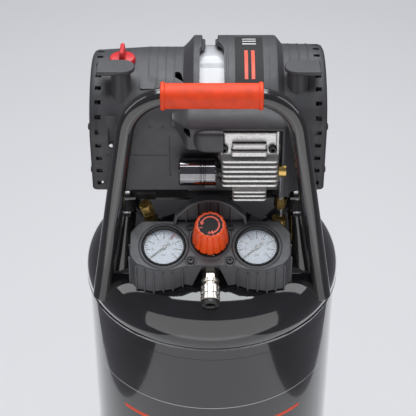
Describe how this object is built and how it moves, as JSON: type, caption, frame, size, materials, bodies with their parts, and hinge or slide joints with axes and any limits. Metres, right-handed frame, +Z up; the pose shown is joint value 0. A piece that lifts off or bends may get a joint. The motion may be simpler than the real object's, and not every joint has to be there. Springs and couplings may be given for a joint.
{
  "type": "air compressor",
  "caption": "Upright portable air compressor: black vertical tank on wheels and feet, shrouded direct-drive pump, gauge panel with regulator knob and an arched handle with a rubber grip.",
  "frame": {"origin": "on the floor, below the middle of the machine's bounding box", "axes": "+Z up, -Y the front with the gauges and the handle, +X the user's right when facing the panel"},
  "size_m": [0.408, 0.3504, 0.9805],
  "materials": {
    "black_gloss_paint": "gloss powder coat with fine orange peel",
    "black_satin_paint": "satin black paint",
    "zinc_steel": "bright zinc plate",
    "bare_steel": "machined steel",
    "dark_steel": "black oxide",
    "brass": "machined brass",
    "nickel": "nickel plate",
    "chrome": "polished chrome plate",
    "copper_windings": "lacquered copper",
    "cast_aluminium": "as cast, lightly blasted",
    "grey_paint": "satin light grey",
    "pipe_aluminium": "drawn tube",
    "dark_grey_plastic": "fine spark-eroded grain",
    "black_plastic": "matt",
    "orange_rubber": "fine diagonal knurl",
    "orange_plastic": "satin gloss",
    "red_plastic": "satin gloss",
    "black_rubber": "matt",
    "tyre_rubber": "matt",
    "dial_white": "printed white",
    "needle_black": "matt black",
    "clear_lens": "clear"
  },
  "bodies": {
    "root": {"tank_shell": "black_gloss_paint", "top_dome": "black_gloss_paint", "bottom_dome": "black_gloss_paint", "seam_welds": "black_gloss_paint", "drain_valve": "brass", "axle_bracket": "black_gloss_paint", "axle": "zinc_steel", "front_feet": "black_gloss_paint", "foot_pads": "black_rubber", "handle_tube": "black_gloss_paint", "handle_grip": "orange_rubber", "pump_struts": "black_gloss_paint", "vibration_mounts": "black_rubber", "mount_bolts": "zinc_steel", "pump_cradle": "black_satin_paint", "check_valve": "brass", "delivery_pipe": "pipe_aluminium", "pipe_nuts": "brass", "unloader_tube": "black_plastic", "safety_valve": "brass", "panel": "dark_grey_plastic", "panel_screws": "dark_steel", "gauge_cases": "black_plastic", "gauge_dials": "dial_white", "gauge_lenses": "clear_lens", "regulator_body": "nickel", "coupler_body": "nickel", "coupler_nose": "black_plastic", "shroud_left": "dark_grey_plastic", "shroud_right": "dark_grey_plastic", "end_cap_left": "dark_grey_plastic", "end_cap_right": "dark_grey_plastic", "motor_frame": "grey_paint", "stator": "copper_windings", "bearings": "bare_steel", "crankcase": "cast_aluminium", "cylinder_barrel": "cast_aluminium", "valve_plate": "bare_steel", "cylinder_head": "cast_aluminium", "head_screws": "dark_steel", "intake_filter": "chrome", "pressure_switch": "black_plastic", "cable_gland": "black_rubber"},
    "left_wheel": {"wheel_left": "black_plastic", "tyre_left": "tyre_rubber"},
    "right_wheel": {"wheel_right": "black_plastic", "tyre_right": "tyre_rubber"},
    "left_needle": {"needle_left": "needle_black"},
    "right_needle": {"needle_right": "needle_black"},
    "knob": {"regulator_knob": "orange_plastic"},
    "sleeve": {"coupler_sleeve": "nickel"},
    "relief_cap": {"safety_cap": "brass"},
    "switch": {"switch_knob": "red_plastic"},
    "drain": {"drain_screw": "brass"},
    "poppet": {"check_poppet": "black_rubber"},
    "motor_rotor": {"rotor": "bare_steel", "crankshaft": "bare_steel", "fan": "black_plastic"},
    "rod": {"connecting_rod": "cast_aluminium"},
    "piston_body": {"piston": "cast_aluminium"}
  },
  "joints": [
    {"name": "left_wheel_spin", "type": "hinge", "parent": "root", "child": "left_wheel", "pos_m": [-0.176, 0.1052, 0.07], "axis": [1, 0, 0], "continuous": true},
    {"name": "right_wheel_spin", "type": "hinge", "parent": "root", "child": "right_wheel", "pos_m": [0.176, 0.1052, 0.07], "axis": [1, 0, 0], "continuous": true},
    {"name": "tank_gauge_needle", "type": "hinge", "parent": "root", "child": "left_needle", "pos_m": [-0.0575, -0.1182, 0.769], "axis": [0, 0.454, -0.891], "range_deg": [0, 260], "stiffness_Nm_per_rad": 0.0002},
    {"name": "outlet_gauge_needle", "type": "hinge", "parent": "root", "child": "right_needle", "pos_m": [0.0537, -0.1182, 0.769], "axis": [0, 0.454, -0.891], "range_deg": [0, 260], "stiffness_Nm_per_rad": 0.0002},
    {"name": "regulator_turn", "type": "hinge", "parent": "root", "child": "knob", "pos_m": [-0.0019, -0.10973, 0.77331], "axis": [0, 0.454, -0.891], "range_deg": [0, 1080]},
    {"name": "coupler_release", "type": "slide", "parent": "root", "child": "sleeve", "axis": [0, 0.891, 0.454], "range_m": [0, 0.004], "stiffness_N_per_m": 400},
    {"name": "safety_lift", "type": "slide", "parent": "root", "child": "relief_cap", "axis": [-0.2281, -0.1754, 0.9577], "range_m": [0, 0.002], "stiffness_N_per_m": 500},
    {"name": "switch_turn", "type": "hinge", "parent": "root", "child": "switch", "pos_m": [-0.1056, -0.0008, 0.9543], "axis": [0, 0, 1], "range_deg": [0, 90]},
    {"name": "drain_turn", "type": "hinge", "parent": "root", "child": "drain", "pos_m": [0, -0.0128, 0.04], "axis": [0, 0, 1], "range_deg": [0, 540]},
    {"name": "check_lift", "type": "slide", "parent": "root", "child": "poppet", "axis": [0, 0, 1], "range_m": [0, 0.003], "stiffness_N_per_m": 100},
    {"name": "motor_spin", "type": "hinge", "parent": "root", "child": "motor_rotor", "pos_m": [0, 0.0092, 0.869], "axis": [1, 0, 0], "continuous": true},
    {"name": "rod_on_crank", "type": "hinge", "parent": "motor_rotor", "child": "rod", "pos_m": [0.0445, 0.0092, 0.877], "axis": [1, 0, 0], "continuous": true},
    {"name": "piston_stroke", "type": "slide", "parent": "root", "child": "piston_body", "axis": [0, 1, 0], "range_m": [-0.008, 0.008]}
  ],
  "couplings": [
    {"joint": "rod_on_crank", "follows": "motor_spin", "ratio": -1}
  ]
}
